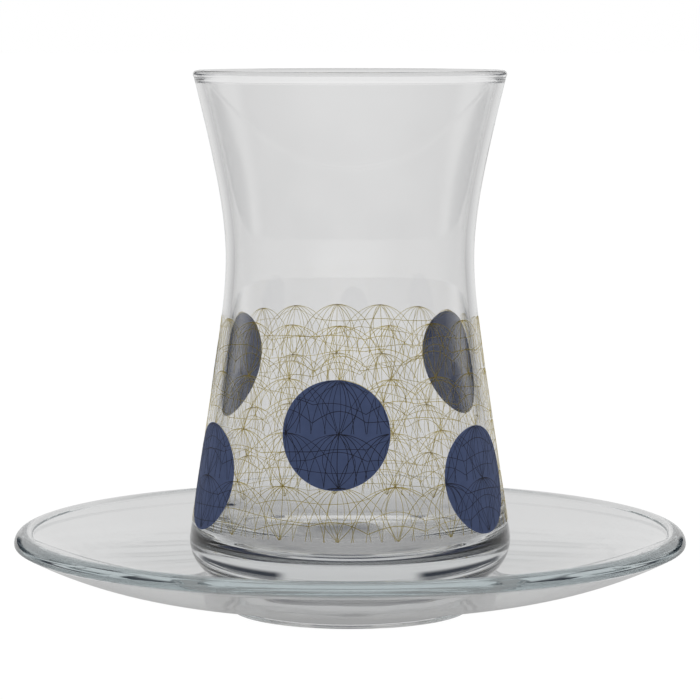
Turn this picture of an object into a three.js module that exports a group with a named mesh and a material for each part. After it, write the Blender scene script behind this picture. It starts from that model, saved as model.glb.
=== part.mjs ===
import * as THREE from 'three';

// A clear, waisted tea glass standing empty on its clear saucer.
// Both are bodies of revolution about +Z. Millimetres, with the table at z = 0.

// Steps round the axis, and along each kind of stretch in the two profiles
const TURN_STEPS = 48;
const SMALL_ROUND_STEPS = 3;
const SAUCER_RIM_STEPS = 6;
const DISH_STEPS = 9;
const BEAD_STEPS = 10;
const CORNER_STEPS = 8;
const OUTSIDE_STEPS = 18;
const INSIDE_STEPS = 16;
const FLOOR_EDGE_STEPS = 6;
const FLOOR_STEPS = 3;
const KICK_STEPS = 4;
const LEAN_ROUNDS = 8;

// Saucer: foot ring, flat well, dish that bends up to one slope, rounded rim with a crease inside it
const SAUCER_RADIUS = 60;
const RIM_WIDEST_Z = 12.6;
const RIM_TOP_Z = 14.7;
const RIM_TOP_RADIUS = 58;
const RIM_INNER_ROUND = 1.6;
const RIM_INNER_SLOPE = THREE.MathUtils.degToRad(50);
const RIM_CREASE_ROUND = 0.8;
const RIM_UNDER_ROUND = 0.4;
const DISH_SLOPE = THREE.MathUtils.degToRad(28);
const WELL_Z = 5.5;
const WELL_RADIUS = 22;
const FOOT_OUTER_RADIUS = 21.5;
const FOOT_INNER_RADIUS = 17.5;
const FOOT_HEIGHT = 3.4;
const FOOT_RECESS = 2.4;
const FOOT_ROUND = 0.6;

// Glass, with heights measured from its own underside
const GLASS_HEIGHT = 90.9;
const WAIST_Z = 57.7;
const WAIST_RADIUS = 22.1;
const FLARE_SLOPE = 0.27;
const FLARE_EASE = 14.6;
const CONE_SLOPE = 0.158;
const CONE_EASE = 8.5;
const BASE_ROUND = 7.4;
const WALL = 1.6;
const RIM_WALL = 1.4;
const RIM_BEAD_RADIUS = 0.75;
const FLOOR_Z = 6.8;
const FLOOR_DIP = 0.4;
const FLOOR_ROUND = 8;
const KICK_HEIGHT = 1;
const KICK_RADIUS = 17;

const point = (r, z) => new THREE.Vector2(r, z);

// Points round an arc about (r, z), with angles counted from +r towards +z
function arc(r, z, radius, from, to, steps, radiusZ = radius) {
  const points = [];
  for (let i = 0; i <= steps; i += 1) {
    const angle = from + (to - from) * i / steps;
    points.push(point(r + radius * Math.cos(angle), z + radiusZ * Math.sin(angle)));
  }
  return points;
}

// A level stretch from start that bends up to the slope of the dish and ends at end
function dishCurve(start, end, steps) {
  const bend = point(end.x - (end.y - start.y) / Math.tan(DISH_SLOPE), start.y);
  return new THREE.QuadraticBezierCurve(start, bend, end).getPoints(steps);
}

function saucerProfile() {
  const quarter = Math.PI / 2;
  const underRim = arc(SAUCER_RADIUS - RIM_UNDER_ROUND, RIM_WIDEST_Z, RIM_UNDER_ROUND,
    DISH_SLOPE - quarter, 0, SMALL_ROUND_STEPS);
  const overRim = arc(RIM_TOP_RADIUS, RIM_WIDEST_Z, SAUCER_RADIUS - RIM_TOP_RADIUS,
    0, quarter, SAUCER_RIM_STEPS, RIM_TOP_Z - RIM_WIDEST_Z);
  const innerRim = arc(RIM_TOP_RADIUS, RIM_TOP_Z - RIM_INNER_ROUND, RIM_INNER_ROUND,
    quarter, quarter + RIM_INNER_SLOPE, SMALL_ROUND_STEPS);
  const crease = arc(
    RIM_TOP_RADIUS - (RIM_INNER_ROUND + RIM_CREASE_ROUND) * Math.sin(RIM_INNER_SLOPE),
    RIM_TOP_Z - RIM_INNER_ROUND + (RIM_INNER_ROUND + RIM_CREASE_ROUND) * Math.cos(RIM_INNER_SLOPE),
    RIM_CREASE_ROUND, RIM_INNER_SLOPE - quarter, DISH_SLOPE - quarter, SMALL_ROUND_STEPS);
  const footEdge = arc(FOOT_OUTER_RADIUS - FOOT_ROUND, FOOT_ROUND, FOOT_ROUND,
    -quarter, 0, SMALL_ROUND_STEPS);
  const recessEdge = arc(FOOT_INNER_RADIUS + FOOT_ROUND, FOOT_ROUND, FOOT_ROUND,
    -2 * quarter, -quarter, SMALL_ROUND_STEPS);
  const underside = dishCurve(point(FOOT_OUTER_RADIUS, FOOT_HEIGHT), underRim[0], DISH_STEPS);
  const dish = dishCurve(point(WELL_RADIUS, WELL_Z), crease.at(-1), DISH_STEPS);
  return [
    point(0, FOOT_RECESS),
    point(FOOT_INNER_RADIUS, FOOT_RECESS),
    ...recessEdge,
    ...footEdge,
    ...underside,
    ...underRim.slice(1),
    ...overRim.slice(1),
    ...innerRim.slice(1),
    ...crease.slice(1),
    ...dish.reverse().slice(1),
    point(0, WELL_Z),
  ];
}

// The wall is two hyperbolas that share the curve of the waist: a flare above, a cone below
function wallBranch(z) {
  return z > WAIST_Z ? [FLARE_SLOPE, FLARE_EASE] : [CONE_SLOPE, CONE_EASE];
}

function outerRadius(z) {
  const [slope, ease] = wallBranch(z);
  return WAIST_RADIUS + slope * (Math.hypot(z - WAIST_Z, ease) - ease);
}

// Angle of the wall from upright, positive where it opens upwards
function wallLean(z) {
  const [slope, ease] = wallBranch(z);
  return Math.atan(slope * (z - WAIST_Z) / Math.hypot(z - WAIST_Z, ease));
}

// The wall thins towards the rim
function innerRadius(z) {
  const share = THREE.MathUtils.smoothstep(z, WAIST_Z, GLASS_HEIGHT);
  return outerRadius(z) - THREE.MathUtils.lerp(WALL, RIM_WALL, share);
}

// Points along one side of the wall, from one height to another
function wall(radiusAt, from, to, steps) {
  const points = [];
  for (let i = 0; i <= steps; i += 1) {
    const z = from + (to - from) * i / steps;
    points.push(point(radiusAt(z), z));
  }
  return points;
}

// Round bead on the rim, leaning with the wall and a little thicker than it
function rimBead() {
  const z = GLASS_HEIGHT - RIM_BEAD_RADIUS;
  const lean = wallLean(z);
  const middle = (outerRadius(z) + innerRadius(z)) / 2;
  const overlap = Math.acos(RIM_WALL / 2 * Math.cos(lean) / RIM_BEAD_RADIUS);
  return arc(middle, z, RIM_BEAD_RADIUS, -lean - overlap, Math.PI - lean + overlap, BEAD_STEPS);
}

function glassProfile() {
  const quarter = Math.PI / 2;

  // Corner and floor meet the wall where both have its lean, found by a few rounds of correction
  let cornerTop = BASE_ROUND;
  let floorTop = FLOOR_Z + FLOOR_ROUND;
  for (let i = 0; i < LEAN_ROUNDS; i += 1) {
    cornerTop = BASE_ROUND * (1 - Math.sin(wallLean(cornerTop)));
    floorTop = FLOOR_Z + FLOOR_ROUND * (1 - Math.sin(wallLean(floorTop)));
  }
  const cornerLean = wallLean(cornerTop);
  const floorLean = wallLean(floorTop);
  const cornerRadius = outerRadius(cornerTop) - BASE_ROUND * Math.cos(cornerLean);
  const floorRadius = innerRadius(floorTop) - FLOOR_ROUND * Math.cos(floorLean);

  const bead = rimBead();
  const kick = new THREE.QuadraticBezierCurve(
    point(0, KICK_HEIGHT), point(KICK_RADIUS / 2, KICK_HEIGHT), point(KICK_RADIUS, 0))
    .getPoints(KICK_STEPS);
  const corner = arc(cornerRadius, BASE_ROUND, BASE_ROUND, -quarter, -cornerLean, CORNER_STEPS);
  const outside = wall(outerRadius, cornerTop, bead[0].y, OUTSIDE_STEPS);
  const inside = wall(innerRadius, bead.at(-1).y, floorTop, INSIDE_STEPS);
  const floorEdge = arc(floorRadius, FLOOR_Z + FLOOR_ROUND, FLOOR_ROUND,
    -floorLean, -quarter, FLOOR_EDGE_STEPS);
  const floor = new THREE.QuadraticBezierCurve(
    floorEdge.at(-1), point(floorRadius / 2, FLOOR_Z - FLOOR_DIP), point(0, FLOOR_Z - FLOOR_DIP))
    .getPoints(FLOOR_STEPS);
  return [
    ...kick,
    ...corner,
    ...outside.slice(1, -1),
    ...bead,
    ...inside.slice(1, -1),
    ...floorEdge,
    ...floor.slice(1),
  ];
}

// A profile of (radius, height) points turned about +Z
function turned(name, profile, material) {
  const geometry = new THREE.LatheGeometry(profile, TURN_STEPS);
  geometry.rotateX(Math.PI / 2);
  const mesh = new THREE.Mesh(geometry, material);
  mesh.name = name;
  return mesh;
}

const clearGlass = new THREE.MeshStandardMaterial({
  color: 0xe4e7e6, roughness: 0.04, metalness: 0, transparent: true, opacity: 0.35,
});
const saucerGlass = new THREE.MeshStandardMaterial({
  color: 0xd2dedd, roughness: 0.05, metalness: 0, transparent: true, opacity: 0.4,
});

const saucer = turned('saucer', saucerProfile(), saucerGlass);
const teaGlass = turned('tea_glass', glassProfile(), clearGlass);
teaGlass.position.z = WELL_Z;

const set = new THREE.Group();
set.add(saucer, teaGlass);

export default set;
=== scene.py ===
"""Looks for a waisted tea glass on its saucer: clear glass with a gold net and blue dots."""
import math
import random

import bmesh
import bpy
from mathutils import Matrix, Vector


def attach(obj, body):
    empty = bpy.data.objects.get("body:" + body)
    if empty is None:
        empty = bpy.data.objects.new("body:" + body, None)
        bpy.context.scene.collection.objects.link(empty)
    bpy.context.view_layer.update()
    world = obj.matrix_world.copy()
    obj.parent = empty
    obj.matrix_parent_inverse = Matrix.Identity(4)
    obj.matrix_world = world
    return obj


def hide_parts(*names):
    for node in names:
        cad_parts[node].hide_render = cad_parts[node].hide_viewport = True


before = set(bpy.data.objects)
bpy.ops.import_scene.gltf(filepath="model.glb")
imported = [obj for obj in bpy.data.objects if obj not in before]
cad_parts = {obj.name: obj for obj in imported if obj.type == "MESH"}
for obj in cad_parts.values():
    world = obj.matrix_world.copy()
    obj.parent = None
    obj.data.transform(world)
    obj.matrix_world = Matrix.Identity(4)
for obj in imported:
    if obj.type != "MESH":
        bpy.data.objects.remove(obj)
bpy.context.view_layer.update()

MM = 0.001

# Steps round the axis, and along each kind of stretch in the two profiles
TURN_STEPS = 192
SMALL_ROUND_STEPS = 8
SAUCER_RIM_STEPS = 16
DISH_STEPS = 32
BEAD_STEPS = 24
CORNER_STEPS = 24
OUTSIDE_STEPS = 72
INSIDE_STEPS = 64
FLOOR_EDGE_STEPS = 24
FLOOR_STEPS = 12
KICK_STEPS = 16
LEAN_ROUNDS = 8

# In millimetres: profile points closer than the first are one point,
# and those nearer the axis than the second lie on it
SAME_POINT = 1e-4
ON_AXIS = 1e-6

# Saucer, in millimetres, as in the CAD
SAUCER_RADIUS = 60.0
RIM_WIDEST_Z = 12.6
RIM_TOP_Z = 14.7
RIM_TOP_RADIUS = 58.0
RIM_INNER_ROUND = 1.6
RIM_INNER_SLOPE = math.radians(50)
RIM_CREASE_ROUND = 0.8
RIM_UNDER_ROUND = 0.4
DISH_SLOPE = math.radians(28)
WELL_Z = 5.5
WELL_RADIUS = 22.0
FOOT_OUTER_RADIUS = 21.5
FOOT_INNER_RADIUS = 17.5
FOOT_HEIGHT = 3.4
FOOT_RECESS = 2.4
FOOT_ROUND = 0.6

# Glass, in millimetres above its own underside, as in the CAD
GLASS_HEIGHT = 90.9
WAIST_Z = 57.7
WAIST_RADIUS = 22.1
FLARE_SLOPE = 0.27
FLARE_EASE = 14.6
CONE_SLOPE = 0.158
CONE_EASE = 8.5
BASE_ROUND = 7.4
WALL = 1.6
RIM_WALL = 1.4
RIM_BEAD_RADIUS = 0.75
FLOOR_Z = 6.8
FLOOR_DIP = 0.4
FLOOR_ROUND = 8.0
KICK_HEIGHT = 1.0
KICK_RADIUS = 17.0

# Air film between the saucer's well and the glass that stands in it
AIR_GAP = 0.04

# Printed net: columns round the glass, in degrees, and rows of star points, in millimetres above the table.
# Ribs and hoops are in columns and rows.
NET_COLUMNS = 17
NET_PITCH = 360.0 / NET_COLUMNS
NET_TURN = -4.3
NET_ROWS = (53.0, 43.8, 34.6, 25.5, 16.3)
LINE_WIDTH = 0.1
LINE_LIFT = 0.008
LINE_THICKNESS = 0.016
LANTERN_BULGES = (-0.3, -0.15, 0.0, 0.15, 0.3)
DOME_REACHES = (-1.0, -0.76, -0.52, -0.28, 0.28, 0.52, 0.76, 1.0)
DOME_TURN = math.radians(76)
HOOP_LEVELS = (0.32, 0.56, 0.8)
NET_CUTS = 2

# Seeded unevenness of the net, as ranges in columns, in rows, or of a share
RIPPLE_SEED = 7
RIPPLE = random.Random(RIPPLE_SEED)
LANTERN_RIPPLE = (-0.04, 0.04)
LANTERN_SKEW = (0.75, 1.2)
DOME_RIPPLE = (-0.05, 0.05)
HOOP_RISE = (-0.05, 0.25)
HOOP_RIPPLE = (-0.12, 0.12)
WIDTH_RIPPLE = (0.75, 1.2)

# Printed dots, in millimetres, turned about a degree from the net.
# The gold lines end a little way under a dot, and dark ridges go on over it: the print seen through the
# enamel, darkened with painted shade where it blocks the light through the film.
DOT_RADIUS = 9.5
DOT_LIFT = 0.035
DOT_THICKNESS = 0.03
RIDGE_LIFT = 0.004
RIDGE_INSET = 0.1
RIDGE_CUTS = 4
NET_TUCK = 0.6
DOT_OFFSET = -1.3
DOT_TURN = NET_TURN + DOT_OFFSET

# Each dot's name, net column and height above the table
DOTS = (
    ("front", 0, 34.4),
    ("right", 3, 25.3),
    ("back_right", 6, 43.4),
    ("back", 9, 27.2),
    ("back_left", 12, 43.4),
    ("left", 14, 25.3),
)

# Camera fitted to the photograph
CAMERA_DISTANCE = 0.580
CAMERA_HEIGHT = 0.104085
CAMERA_PITCH = 0.0988
FOCAL_PIXELS = 3265.16
IMAGE_PIXELS = 700
SENSOR_MM = 36.0

# Colours of each material at the low and high end of its noise, the gold's roughness likewise,
# how strongly glass absorbs light and how strongly enamel glows, which is painted light standing for light
# through the film
GLASS_TINTS = ((0.97, 0.97, 0.97, 1.0), (0.99, 0.99, 0.99, 1.0))
GLASS_ABSORB = (0.1, 0.14, 0.16, 1.0)
GLASS_DENSITY = 9.0
SAUCER_TINTS = ((0.95, 0.95, 0.95, 1.0), (0.97, 0.97, 0.97, 1.0))
SAUCER_ABSORB = (0.3, 0.43, 0.46, 1.0)
SAUCER_DENSITY = 8.0
GOLD_DEEP = (0.62, 0.52, 0.19, 1.0)
GOLD_PALE = (0.72, 0.62, 0.27, 1.0)
GOLD_ROUGH = (0.55, 0.55, 0.55, 1.0)
GOLD_SMOOTH = (0.4, 0.4, 0.4, 1.0)
BLUE_TINTS = ((0.042, 0.06, 0.126, 1.0), (0.049, 0.069, 0.144, 1.0))
BLUE_PAINTED_GLOW = 0.35
# Print lines over the dots: gold seen through blue enamel, dark with painted shade where it blocks the
# light through the film
SHADED_PRINT_TINTS = ((0.008, 0.009, 0.018, 1.0), (0.014, 0.014, 0.026, 1.0))
RIDGE_GLOW = 0.0
TABLE_TINTS = ((0.015, 0.015, 0.015, 1.0), (0.02, 0.02, 0.02, 1.0))

# Studio, as it shows in the glass
WHITE = (1.0, 1.0, 1.0, 1.0)
SWEEP_GREY = (0.86, 0.86, 0.86, 1.0)
SIDE_GREY = (0.48, 0.48, 0.48, 1.0)
FRONT_GREY = (0.2, 0.2, 0.21, 1.0)
FAR_GREY = (0.76, 0.76, 0.76, 1.0)
NEAR_GREY = (0.66, 0.66, 0.66, 1.0)
SHADE_GREY = (0.36, 0.36, 0.36, 1.0)
STUDIO_DARK = (0.02, 0.028, 0.045, 1.0)

# Table, in metres: its size, the pale strip through the set that widens away from it, and round patches.
# The strip's edge is in shares of its half width.
TABLE_RADIUS = 12.0
TABLE_STEPS = 96
STRIP_HALF_WIDTH = 0.07
STRIP_SPREAD = 0.55
STRIP_EDGE = (0.45, 1.45)
NEAR_REACH = (0.1, 0.6)
SHADE_REACH = (0.015, 0.095)

# Backdrop, as ranges of the sideways, depth and height parts of a direction
CARD_INNER_EDGE = (0.25, 0.33)
CARD_OUTER_EDGE = (0.8, 0.9)
CARD_TOP_EDGE = (0.12, 0.2)
FRONT_EDGE = (0.1, 0.4)
FRONT_TOP_EDGE = (0.3, 0.55)

# Light runs far inside clear glass before it leaves
LIGHT_BOUNCES = 40


def make_camera():
    """Camera fitted to the photograph, in front of the set and looking a little down."""
    data = bpy.data.cameras.new("camera")
    data.sensor_width = SENSOR_MM
    data.lens = FOCAL_PIXELS / IMAGE_PIXELS * SENSOR_MM
    data.clip_start = 0.01
    data.clip_end = 100.0
    camera = bpy.data.objects.new("camera", data)
    camera.location = (0.0, -CAMERA_DISTANCE, CAMERA_HEIGHT)
    camera.rotation_euler = (math.pi / 2 - CAMERA_PITCH, 0.0, 0.0)
    bpy.context.scene.collection.objects.link(camera)
    bpy.context.scene.camera = camera


def lerp(a, b, share):
    return a + (b - a) * share


def smoothstep(x, low, high):
    share = min(1.0, max(0.0, (x - low) / (high - low)))
    return share * share * (3 - 2 * share)


def arc(r, z, radius, start, end, steps, radius_z=None):
    """Points round an arc about (r, z), with angles counted from +r towards +z."""
    height = radius if radius_z is None else radius_z
    angles = [lerp(start, end, i / steps) for i in range(steps + 1)]
    return [(r + radius * math.cos(a), z + height * math.sin(a)) for a in angles]


def quadratic(start, bend, end, steps):
    """Points along a curve from start to end that is pulled towards bend."""
    points = []
    for i in range(steps + 1):
        t = i / steps
        points.append(tuple(lerp(lerp(a, b, t), lerp(b, c, t), t) for a, b, c in zip(start, bend, end)))
    return points


def dish_curve(start, end, steps):
    """A level stretch from start that bends up to the slope of the dish and ends at end."""
    bend = (end[0] - (end[1] - start[1]) / math.tan(DISH_SLOPE), start[1])
    return quadratic(start, bend, end, steps)


def saucer_profile():
    """The saucer's (radius, height) points, from the axis underneath round the rim to the axis on top."""
    quarter = math.pi / 2
    well_z = WELL_Z - AIR_GAP
    under_rim = arc(SAUCER_RADIUS - RIM_UNDER_ROUND, RIM_WIDEST_Z, RIM_UNDER_ROUND,
                    DISH_SLOPE - quarter, 0.0, SMALL_ROUND_STEPS)
    over_rim = arc(RIM_TOP_RADIUS, RIM_WIDEST_Z, SAUCER_RADIUS - RIM_TOP_RADIUS,
                   0.0, quarter, SAUCER_RIM_STEPS, RIM_TOP_Z - RIM_WIDEST_Z)
    inner_rim = arc(RIM_TOP_RADIUS, RIM_TOP_Z - RIM_INNER_ROUND, RIM_INNER_ROUND,
                    quarter, quarter + RIM_INNER_SLOPE, SMALL_ROUND_STEPS)
    reach = RIM_INNER_ROUND + RIM_CREASE_ROUND
    crease = arc(RIM_TOP_RADIUS - reach * math.sin(RIM_INNER_SLOPE),
                 RIM_TOP_Z - RIM_INNER_ROUND + reach * math.cos(RIM_INNER_SLOPE),
                 RIM_CREASE_ROUND, RIM_INNER_SLOPE - quarter, DISH_SLOPE - quarter, SMALL_ROUND_STEPS)
    foot_edge = arc(FOOT_OUTER_RADIUS - FOOT_ROUND, FOOT_ROUND, FOOT_ROUND,
                    -quarter, 0.0, SMALL_ROUND_STEPS)
    recess_edge = arc(FOOT_INNER_RADIUS + FOOT_ROUND, FOOT_ROUND, FOOT_ROUND,
                      -2 * quarter, -quarter, SMALL_ROUND_STEPS)
    underside = dish_curve((FOOT_OUTER_RADIUS, FOOT_HEIGHT), under_rim[0], DISH_STEPS)
    dish = dish_curve((WELL_RADIUS, well_z), crease[-1], DISH_STEPS)
    return [
        (0.0, FOOT_RECESS),
        (FOOT_INNER_RADIUS, FOOT_RECESS),
        *recess_edge,
        *foot_edge,
        *underside,
        *under_rim[1:],
        *over_rim[1:],
        *inner_rim[1:],
        *crease[1:],
        *dish[::-1][1:],
        (0.0, well_z),
    ]


def wall_branch(z):
    """Slope and ease of the wall's curve at a height: a flare above the waist, a cone below it."""
    return (FLARE_SLOPE, FLARE_EASE) if z > WAIST_Z else (CONE_SLOPE, CONE_EASE)


def outer_radius(z):
    slope, ease = wall_branch(z)
    return WAIST_RADIUS + slope * (math.hypot(z - WAIST_Z, ease) - ease)


def wall_lean(z):
    """Angle of the wall from upright, positive where it opens upwards."""
    slope, ease = wall_branch(z)
    return math.atan(slope * (z - WAIST_Z) / math.hypot(z - WAIST_Z, ease))


def inner_radius(z):
    """Radius of the inside, where the wall thins from the waist to the rim."""
    return outer_radius(z) - lerp(WALL, RIM_WALL, smoothstep(z, WAIST_Z, GLASS_HEIGHT))


def wall(radius_at, start, end, steps):
    """Points along one side of the wall, from one height to another."""
    heights = [lerp(start, end, i / steps) for i in range(steps + 1)]
    return [(radius_at(z), z) for z in heights]


def rim_bead():
    """Round bead on the rim, leaning with the wall and a little thicker than it."""
    z = GLASS_HEIGHT - RIM_BEAD_RADIUS
    lean = wall_lean(z)
    middle = (outer_radius(z) + inner_radius(z)) / 2
    overlap = math.acos(RIM_WALL / 2 * math.cos(lean) / RIM_BEAD_RADIUS)
    return arc(middle, z, RIM_BEAD_RADIUS, -lean - overlap, math.pi - lean + overlap, BEAD_STEPS)


def glass_profile():
    """The glass's (radius, height) points, from the axis underneath round the rim to the axis inside."""
    quarter = math.pi / 2

    # Corner and floor meet the wall where both have its lean, found by a few rounds of correction
    corner_top = BASE_ROUND
    floor_top = FLOOR_Z + FLOOR_ROUND
    for _ in range(LEAN_ROUNDS):
        corner_top = BASE_ROUND * (1 - math.sin(wall_lean(corner_top)))
        floor_top = FLOOR_Z + FLOOR_ROUND * (1 - math.sin(wall_lean(floor_top)))
    corner_lean = wall_lean(corner_top)
    floor_lean = wall_lean(floor_top)
    corner_radius = outer_radius(corner_top) - BASE_ROUND * math.cos(corner_lean)
    floor_radius = inner_radius(floor_top) - FLOOR_ROUND * math.cos(floor_lean)

    bead = rim_bead()
    kick = quadratic((0.0, KICK_HEIGHT), (KICK_RADIUS / 2, KICK_HEIGHT), (KICK_RADIUS, 0.0), KICK_STEPS)
    corner = arc(corner_radius, BASE_ROUND, BASE_ROUND, -quarter, -corner_lean, CORNER_STEPS)
    outside = wall(outer_radius, corner_top, bead[0][1], OUTSIDE_STEPS)
    inside = wall(inner_radius, bead[-1][1], floor_top, INSIDE_STEPS)
    floor_edge = arc(floor_radius, FLOOR_Z + FLOOR_ROUND, FLOOR_ROUND,
                     -floor_lean, -quarter, FLOOR_EDGE_STEPS)
    lowest = FLOOR_Z - FLOOR_DIP
    floor = quadratic(floor_edge[-1], (floor_radius / 2, lowest), (0.0, lowest), FLOOR_STEPS)
    profile = [*kick, *corner, *outside[1:-1], *bead, *inside[1:-1], *floor_edge, *floor[1:]]
    return [(r, z + WELL_Z) for r, z in profile]


def add_object(name, bm, sharp_angle=math.radians(40)):
    """A smooth-shaded object made from bm, with edges sharper than sharp_angle left sharp."""
    bmesh.ops.recalc_face_normals(bm, faces=bm.faces)
    mesh = bpy.data.meshes.new(name)
    bm.to_mesh(mesh)
    bm.free()
    mesh.shade_smooth()
    mesh.set_sharp_from_angle(angle=sharp_angle)
    made = bpy.data.objects.new(name, mesh)
    bpy.context.scene.collection.objects.link(made)
    return made


def turned(name, profile):
    """A closed body of revolution from (radius, height) points that start and end on the axis."""
    bm = bmesh.new()
    turns = [2 * math.pi * i / TURN_STEPS for i in range(TURN_STEPS)]
    rings = []
    last = None
    for r, z in profile:
        if last is not None and math.hypot(r - last[0], z - last[1]) < SAME_POINT:
            continue
        last = (r, z)
        if r < ON_AXIS:
            places = [(0.0, 0.0, z * MM)]
        else:
            places = [(r * math.cos(a) * MM, r * math.sin(a) * MM, z * MM) for a in turns]
        rings.append([bm.verts.new(place) for place in places])
    for near, far in zip(rings, rings[1:]):
        for i in range(TURN_STEPS):
            j = (i + 1) % TURN_STEPS
            corners = [near[i % len(near)], near[j % len(near)], far[j % len(far)], far[i % len(far)]]
            bm.faces.new(list(dict.fromkeys(corners)))
    return add_object(name, bm)


def on_glass(turn, z, lift):
    """A point on the glass, turn degrees from the front and z millimetres above the table.

    It stands lift millimetres off the wall.
    """
    height = z - WELL_Z
    lean = wall_lean(height)
    r = (outer_radius(height) + lift * math.cos(lean)) * MM
    a = math.radians(turn)
    return Vector((r * math.sin(a), -r * math.cos(a), (z - lift * math.sin(lean)) * MM))


def add_line(bm, path, width, lift):
    """A thin printed line along a path of (turn, height) points, a little raised along its middle."""
    rings = []
    for i, (turn, z) in enumerate(path):
        ahead = path[min(i + 1, len(path) - 1)]
        behind = path[max(i - 1, 0)]
        r = outer_radius(z - WELL_Z)
        along = math.radians(ahead[0] - behind[0]) * r
        rise = ahead[1] - behind[1]
        length = math.hypot(along, rise)
        side_turn = math.degrees(-rise / length * width / 2 / r)
        side_z = along / length * width / 2
        rings.append((
            bm.verts.new(on_glass(turn - side_turn, z - side_z, lift)),
            bm.verts.new(on_glass(turn + side_turn, z + side_z, lift)),
            bm.verts.new(on_glass(turn, z, lift + LINE_THICKNESS)),
        ))
    for near, far in zip(rings, rings[1:]):
        for i in range(3):
            j = (i + 1) % 3
            bm.faces.new((near[i], near[j], far[j], far[i]))
    bm.faces.new(rings[0])
    bm.faces.new(rings[-1])


def net_point(column, row):
    """Turn and height of a place in the net, where both counts may be fractions."""
    low = min(int(row), len(NET_ROWS) - 2)
    return NET_TURN + column * NET_PITCH, lerp(NET_ROWS[low], NET_ROWS[low + 1], row - low)


def lantern_rib(column, row, bulge, steps=10):
    """A rib from a star point to the one below it that bulges sideways between them."""
    bulge += RIPPLE.uniform(*LANTERN_RIPPLE)
    skew = RIPPLE.uniform(*LANTERN_SKEW)
    shares = [i / steps for i in range(steps + 1)]
    return [net_point(column + bulge * math.sin(math.pi * t ** skew), row + t) for t in shares]


def dome_rib(column, row, half_width, steps=12):
    """A rib that leaves a star point level and rounds over on its way down to the next row."""
    half_width += RIPPLE.uniform(*DOME_RIPPLE)
    angles = [DOME_TURN * i / steps for i in range(steps + 1)]
    across = [half_width * math.sin(a) / math.sin(DOME_TURN) for a in angles]
    down = [(1 - math.cos(a)) / (1 - math.cos(DOME_TURN)) for a in angles]
    return [net_point(column + x, row + y) for x, y in zip(across, down)]


def hoop(column, start, end, steps=8):
    """A line across a column, between two heights counted in rows, that mostly arches over its middle."""
    rise = RIPPLE.uniform(*HOOP_RISE)
    shares = [i / steps for i in range(steps + 1)]
    rows = [lerp(start, end, t) - rise * math.sin(math.pi * t) for t in shares]
    return [net_point(column - 0.5 + t, row) for t, row in zip(shares, rows)]


def net_lines():
    """Every line of the net as a path and a width: ribs down from the star points, and hoops across."""
    lines = []
    for row in range(len(NET_ROWS) - 1):
        ribs = []
        for column in range(NET_COLUMNS):
            ribs += [lantern_rib(column, row, bulge) for bulge in LANTERN_BULGES]
            ribs += [dome_rib(column, row, half_width) for half_width in DOME_REACHES]
        for level in HOOP_LEVELS:
            ends = [row + level + RIPPLE.uniform(*HOOP_RIPPLE) for _ in range(NET_COLUMNS)]
            ribs += [hoop(column, ends[column - 1], ends[column]) for column in range(NET_COLUMNS)]
        lines += [(path, LINE_WIDTH * RIPPLE.uniform(*WIDTH_RIPPLE)) for path in ribs]
    return lines


def in_dot(turn, z, inset):
    """Whether a place is within one of the dots, more than inset millimetres from its edge."""
    for _, column, dot_z in DOTS:
        across = (turn - DOT_TURN - column * NET_PITCH + 180.0) % 360.0 - 180.0
        sideways = math.radians(across) * outer_radius(z - WELL_Z)
        upwards = (z - dot_z) / math.cos(wall_lean(dot_z - WELL_Z))
        if math.hypot(sideways, upwards) < DOT_RADIUS - inset:
            return True
    return False


def runs_by_dots(path, inset, within, cuts):
    """The stretches of a path that lie within the dots, or outside them, with each step cut finer."""
    fine = [tuple(lerp(a, b, i / cuts) for a, b in zip(start, end))
            for start, end in zip(path, path[1:]) for i in range(cuts)]
    runs = []
    run = []
    for place in [*fine, path[-1], None]:
        if place is not None and in_dot(*place, inset) == within:
            run.append(place)
            continue
        if len(run) > 1:
            runs.append(run)
        run = []
    return runs


def make_net(lines):
    """The gold lines, which end a little way under the dots."""
    bm = bmesh.new()
    for path, width in lines:
        for run in runs_by_dots(path, NET_TUCK, False, NET_CUTS):
            add_line(bm, run, width, LINE_LIFT)
    return add_object("gold_net", bm)


def make_dot_shaded_print(lines):
    """The net's lines where they cross the dots, as dark ridges over the enamel: print darkened with
    painted shade where it blocks the light through the film.
    """
    bm = bmesh.new()
    for path, width in lines:
        for run in runs_by_dots(path, RIDGE_INSET, True, RIDGE_CUTS):
            add_line(bm, run, width, DOT_LIFT + DOT_THICKNESS + RIDGE_LIFT)
    return add_object("dot_shaded_print", bm)


def make_dot(name, turn, z, rings=14, steps=72):
    """A thin round film of enamel that follows the glass."""
    bm = bmesh.new()
    lean = wall_lean(z - WELL_Z)

    def ring(radius, lift):
        made = []
        for i in range(steps):
            a = 2 * math.pi * i / steps
            height = z + radius * math.sin(a) * math.cos(lean)
            sideways = math.degrees(radius * math.cos(a) / outer_radius(height - WELL_Z))
            made.append(bm.verts.new(on_glass(turn + sideways, height, lift)))
        return made

    def layer(lift):
        return [ring(DOT_RADIUS * i / rings, lift) for i in range(1, rings + 1)]

    lifts = (DOT_LIFT, DOT_LIFT + DOT_THICKNESS)
    layers = [layer(lift) for lift in lifts]
    centres = [bm.verts.new(on_glass(turn, z, lift)) for lift in lifts]
    for centre, circles in zip(centres, layers):
        for i in range(steps):
            j = (i + 1) % steps
            bm.faces.new((centre, circles[0][i], circles[0][j]))
            for near, far in zip(circles, circles[1:]):
                bm.faces.new((near[i], far[i], far[j], near[j]))
    for i in range(steps):
        j = (i + 1) % steps
        bm.faces.new((layers[0][-1][i], layers[1][-1][i], layers[1][-1][j], layers[0][-1][j]))
    return add_object("dot_" + name, bm)


def new_material(name):
    material = bpy.data.materials.new(name)
    material.use_nodes = True
    nodes = material.node_tree.nodes
    return material, nodes, material.node_tree.links, nodes["Principled BSDF"]


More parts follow.
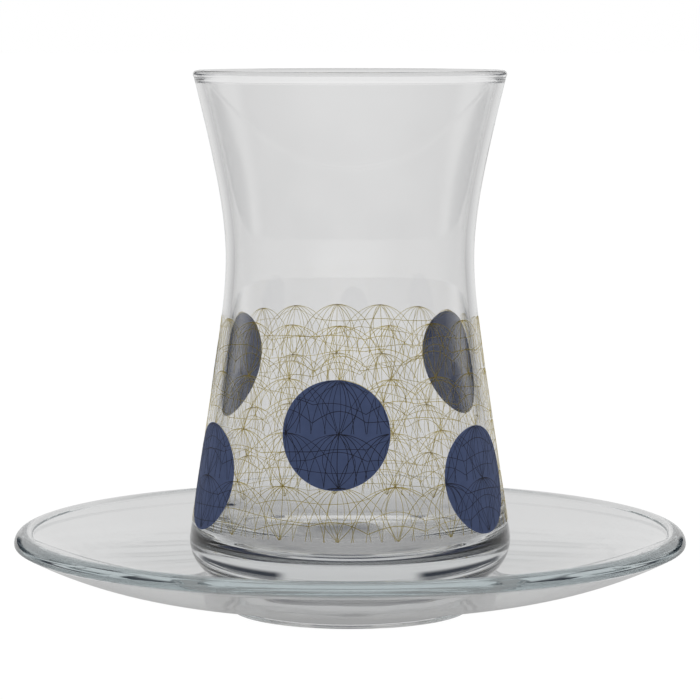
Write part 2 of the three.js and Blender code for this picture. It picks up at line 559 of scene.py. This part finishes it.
def add_noise(nodes, links, scale, detail=3.0):
    """Noise in the object's own coordinates, scale patches to the metre."""
    place = nodes.new("ShaderNodeTexCoord")
    noise = nodes.new("ShaderNodeTexNoise")
    noise.inputs["Scale"].default_value = scale
    noise.inputs["Detail"].default_value = detail
    links.new(place.outputs["Object"], noise.inputs["Vector"])
    return noise


def add_ramp(nodes, links, source, low, high, start=0.3, end=0.7):
    ramp = nodes.new("ShaderNodeValToRGB")
    ramp.color_ramp.elements[0].position = start
    ramp.color_ramp.elements[0].color = low
    ramp.color_ramp.elements[1].position = end
    ramp.color_ramp.elements[1].color = high
    links.new(source, ramp.inputs["Fac"])
    return ramp


def add_bump(nodes, links, source, shader, strength, distance):
    bump = nodes.new("ShaderNodeBump")
    bump.inputs["Strength"].default_value = strength
    bump.inputs["Distance"].default_value = distance
    links.new(source, bump.inputs["Height"])
    links.new(bump.outputs["Normal"], shader.inputs["Normal"])


def glass_material(name, low, high, absorb, density):
    """Clear glass with faint ripples, its tint a little uneven, that absorbs light along its depth."""
    material, nodes, links, shader = new_material(name)
    shader.inputs["Transmission Weight"].default_value = 1.0
    shader.inputs["IOR"].default_value = 1.5
    shader.inputs["Roughness"].default_value = 0.0
    noise = add_noise(nodes, links, scale=60.0, detail=2.0)
    tint = add_ramp(nodes, links, noise.outputs["Fac"], low, high)
    links.new(tint.outputs["Color"], shader.inputs["Base Color"])
    add_bump(nodes, links, noise.outputs["Fac"], shader, strength=0.05, distance=0.0004)
    depth = nodes.new("ShaderNodeVolumeAbsorption")
    depth.inputs["Color"].default_value = absorb
    depth.inputs["Density"].default_value = density
    links.new(depth.outputs["Volume"], nodes["Material Output"].inputs["Volume"])
    return material


def gold_material():
    """Gold print, thin enough to let light through, with uneven colour and gloss."""
    material, nodes, links, shader = new_material("gold_print")
    shader.inputs["Metallic"].default_value = 0.2
    shader.inputs["Transmission Weight"].default_value = 1.0
    shader.inputs["IOR"].default_value = 1.0
    noise = add_noise(nodes, links, scale=900.0)
    colour = add_ramp(nodes, links, noise.outputs["Fac"], GOLD_DEEP, GOLD_PALE)
    links.new(colour.outputs["Color"], shader.inputs["Base Color"])
    rough = add_ramp(nodes, links, noise.outputs["Fac"], GOLD_ROUGH, GOLD_SMOOTH)
    links.new(rough.outputs["Color"], shader.inputs["Roughness"])
    return material


def enamel_material(name, low, high, glow):
    """Matt enamel that glows with painted light, standing for the light that comes through so thin a film.
    """
    material, nodes, links, shader = new_material(name)
    noise = add_noise(nodes, links, scale=500.0)
    colour = add_ramp(nodes, links, noise.outputs["Fac"], low, high)
    links.new(colour.outputs["Color"], shader.inputs["Base Color"])
    links.new(colour.outputs["Color"], shader.inputs["Emission Color"])
    shader.inputs["Emission Strength"].default_value = glow
    shader.inputs["Specular IOR Level"].default_value = 0.25
    shader.inputs["Roughness"].default_value = 0.6
    add_bump(nodes, links, noise.outputs["Fac"], shader, strength=0.1, distance=0.00002)
    return material


def add_math(nodes, links, operation, first, second):
    """A math node on two inputs, each a socket or a number."""
    node = nodes.new("ShaderNodeMath")
    node.operation = operation
    for i, value in enumerate((first, second)):
        if isinstance(value, float):
            node.inputs[i].default_value = value
        else:
            links.new(value, node.inputs[i])
    return node.outputs["Value"]


def ease(nodes, links, value, edge, start, end):
    """start where value is under the edge's first number, easing to end where it is over its second."""
    change = nodes.new("ShaderNodeMapRange")
    change.interpolation_type = "SMOOTHSTEP"
    change.inputs["From Min"].default_value = edge[0]
    change.inputs["From Max"].default_value = edge[1]
    change.inputs["To Min"].default_value = start
    change.inputs["To Max"].default_value = end
    links.new(value, change.inputs["Value"])
    return change.outputs["Result"]


def rising(nodes, links, value, edge):
    return ease(nodes, links, value, edge, 0.0, 1.0)


def falling(nodes, links, value, edge):
    return ease(nodes, links, value, edge, 1.0, 0.0)


def add_mix(nodes, links, share, first, second):
    """A colour that goes from first to second as share goes from 0 to 1, each a socket or a colour."""
    mix = nodes.new("ShaderNodeMix")
    mix.data_type = "RGBA"
    links.new(share, mix.inputs["Factor"])
    colours = [socket for socket in mix.inputs if socket.type == "RGBA"]
    for socket, value in zip(colours, (first, second)):
        if isinstance(value, tuple):
            socket.default_value = value
        else:
            links.new(value, socket)
    return next(socket for socket in mix.outputs if socket.type == "RGBA")


def white_when_bare(nodes, links, colour):
    """Pure white where it is seen directly, and its own colour in glass, as in a cut-out photograph."""
    path = nodes.new("ShaderNodeLightPath")
    return add_mix(nodes, links, path.outputs["Is Camera Ray"], colour, WHITE)


def make_floor():
    """A pale table that glows softly, shaded under the set and greyer out to its sides."""
    bm = bmesh.new()
    bmesh.ops.create_circle(bm, cap_ends=True, radius=TABLE_RADIUS, segments=TABLE_STEPS)
    floor = add_object("floor", bm)
    material, nodes, links, shader = new_material("pale_table")
    place = nodes.new("ShaderNodeTexCoord")
    parts = nodes.new("ShaderNodeSeparateXYZ")
    links.new(place.outputs["Object"], parts.inputs["Vector"])
    sideways = add_math(nodes, links, "ABSOLUTE", parts.outputs["X"], 0.0)
    depth = add_math(nodes, links, "ABSOLUTE", parts.outputs["Y"], 0.0)
    spread = add_math(nodes, links, "MULTIPLY", depth, STRIP_SPREAD)
    width = add_math(nodes, links, "ADD", spread, STRIP_HALF_WIDTH)
    outside = rising(nodes, links, add_math(nodes, links, "DIVIDE", sideways, width), STRIP_EDGE)
    reach = nodes.new("ShaderNodeVectorMath")
    reach.operation = "LENGTH"
    links.new(place.outputs["Object"], reach.inputs[0])
    nearby = falling(nodes, links, reach.outputs["Value"], NEAR_REACH)
    shade = falling(nodes, links, reach.outputs["Value"], SHADE_REACH)
    pale = add_mix(nodes, links, nearby, FAR_GREY, NEAR_GREY)
    pale = add_mix(nodes, links, shade, pale, SHADE_GREY)
    colour = add_mix(nodes, links, outside, pale, SIDE_GREY)
    links.new(white_when_bare(nodes, links, colour), shader.inputs["Emission Color"])
    shader.inputs["Emission Strength"].default_value = 1.0
    noise = add_noise(nodes, links, scale=3.0)
    matt = add_ramp(nodes, links, noise.outputs["Fac"], *TABLE_TINTS)
    links.new(matt.outputs["Color"], shader.inputs["Base Color"])
    shader.inputs["Roughness"].default_value = 0.9
    shader.inputs["Specular IOR Level"].default_value = 0.0
    floor.data.materials.append(material)


def make_world():
    """Soft grey light all round, dimmer low down in front, with low dark cards to both sides."""
    world = bpy.data.worlds.new("studio")
    bpy.context.scene.world = world
    world.use_nodes = True
    nodes = world.node_tree.nodes
    links = world.node_tree.links
    place = nodes.new("ShaderNodeTexCoord")
    parts = nodes.new("ShaderNodeSeparateXYZ")
    links.new(place.outputs["Generated"], parts.inputs["Vector"])
    sideways = add_math(nodes, links, "ABSOLUTE", parts.outputs["X"], 0.0)
    beside = rising(nodes, links, sideways, CARD_INNER_EDGE)
    not_far = falling(nodes, links, sideways, CARD_OUTER_EDGE)
    low = falling(nodes, links, parts.outputs["Z"], CARD_TOP_EDGE)
    columns = add_math(nodes, links, "MULTIPLY", beside, not_far)
    cards = add_math(nodes, links, "MULTIPLY", columns, low)
    in_front = falling(nodes, links, parts.outputs["Y"], FRONT_EDGE)
    not_high = falling(nodes, links, parts.outputs["Z"], FRONT_TOP_EDGE)
    dim = add_math(nodes, links, "MULTIPLY", in_front, not_high)
    soft = add_mix(nodes, links, dim, SWEEP_GREY, FRONT_GREY)
    colour = add_mix(nodes, links, cards, soft, STUDIO_DARK)
    links.new(white_when_bare(nodes, links, colour), nodes["Background"].inputs["Color"])
    nodes["Background"].inputs["Strength"].default_value = 1.0


def put_on(piece, material):
    """Give a piece its material and let it ride with the set."""
    piece.data.materials.append(material)
    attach(piece, "root")


make_camera()
bpy.context.scene.view_settings.view_transform = "Standard"
bpy.context.scene.cycles.max_bounces = LIGHT_BOUNCES
bpy.context.scene.cycles.transmission_bounces = LIGHT_BOUNCES
bpy.context.scene.cycles.glossy_bounces = LIGHT_BOUNCES

glass = turned("tea_glass_clear", glass_profile())
put_on(glass, glass_material("clear_glass", *GLASS_TINTS, GLASS_ABSORB, GLASS_DENSITY))
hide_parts("tea_glass")

saucer = turned("saucer_clear", saucer_profile())
put_on(saucer, glass_material("saucer_glass", *SAUCER_TINTS, SAUCER_ABSORB, SAUCER_DENSITY))
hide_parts("saucer")

printed_lines = net_lines()
put_on(make_net(printed_lines), gold_material())
# Blue enamel that glows with painted light, for the light that comes through the thin film
blue = enamel_material("blue_enamel", *BLUE_TINTS, BLUE_PAINTED_GLOW)
for dot_name, dot_column, dot_z in DOTS:
    put_on(make_dot(dot_name, DOT_TURN + dot_column * NET_PITCH, dot_z), blue)
# Print lines over the dots, dark with painted shade
put_on(make_dot_shaded_print(printed_lines), enamel_material("shaded_print_enamel", *SHADED_PRINT_TINTS, RIDGE_GLOW))

make_floor()
make_world()
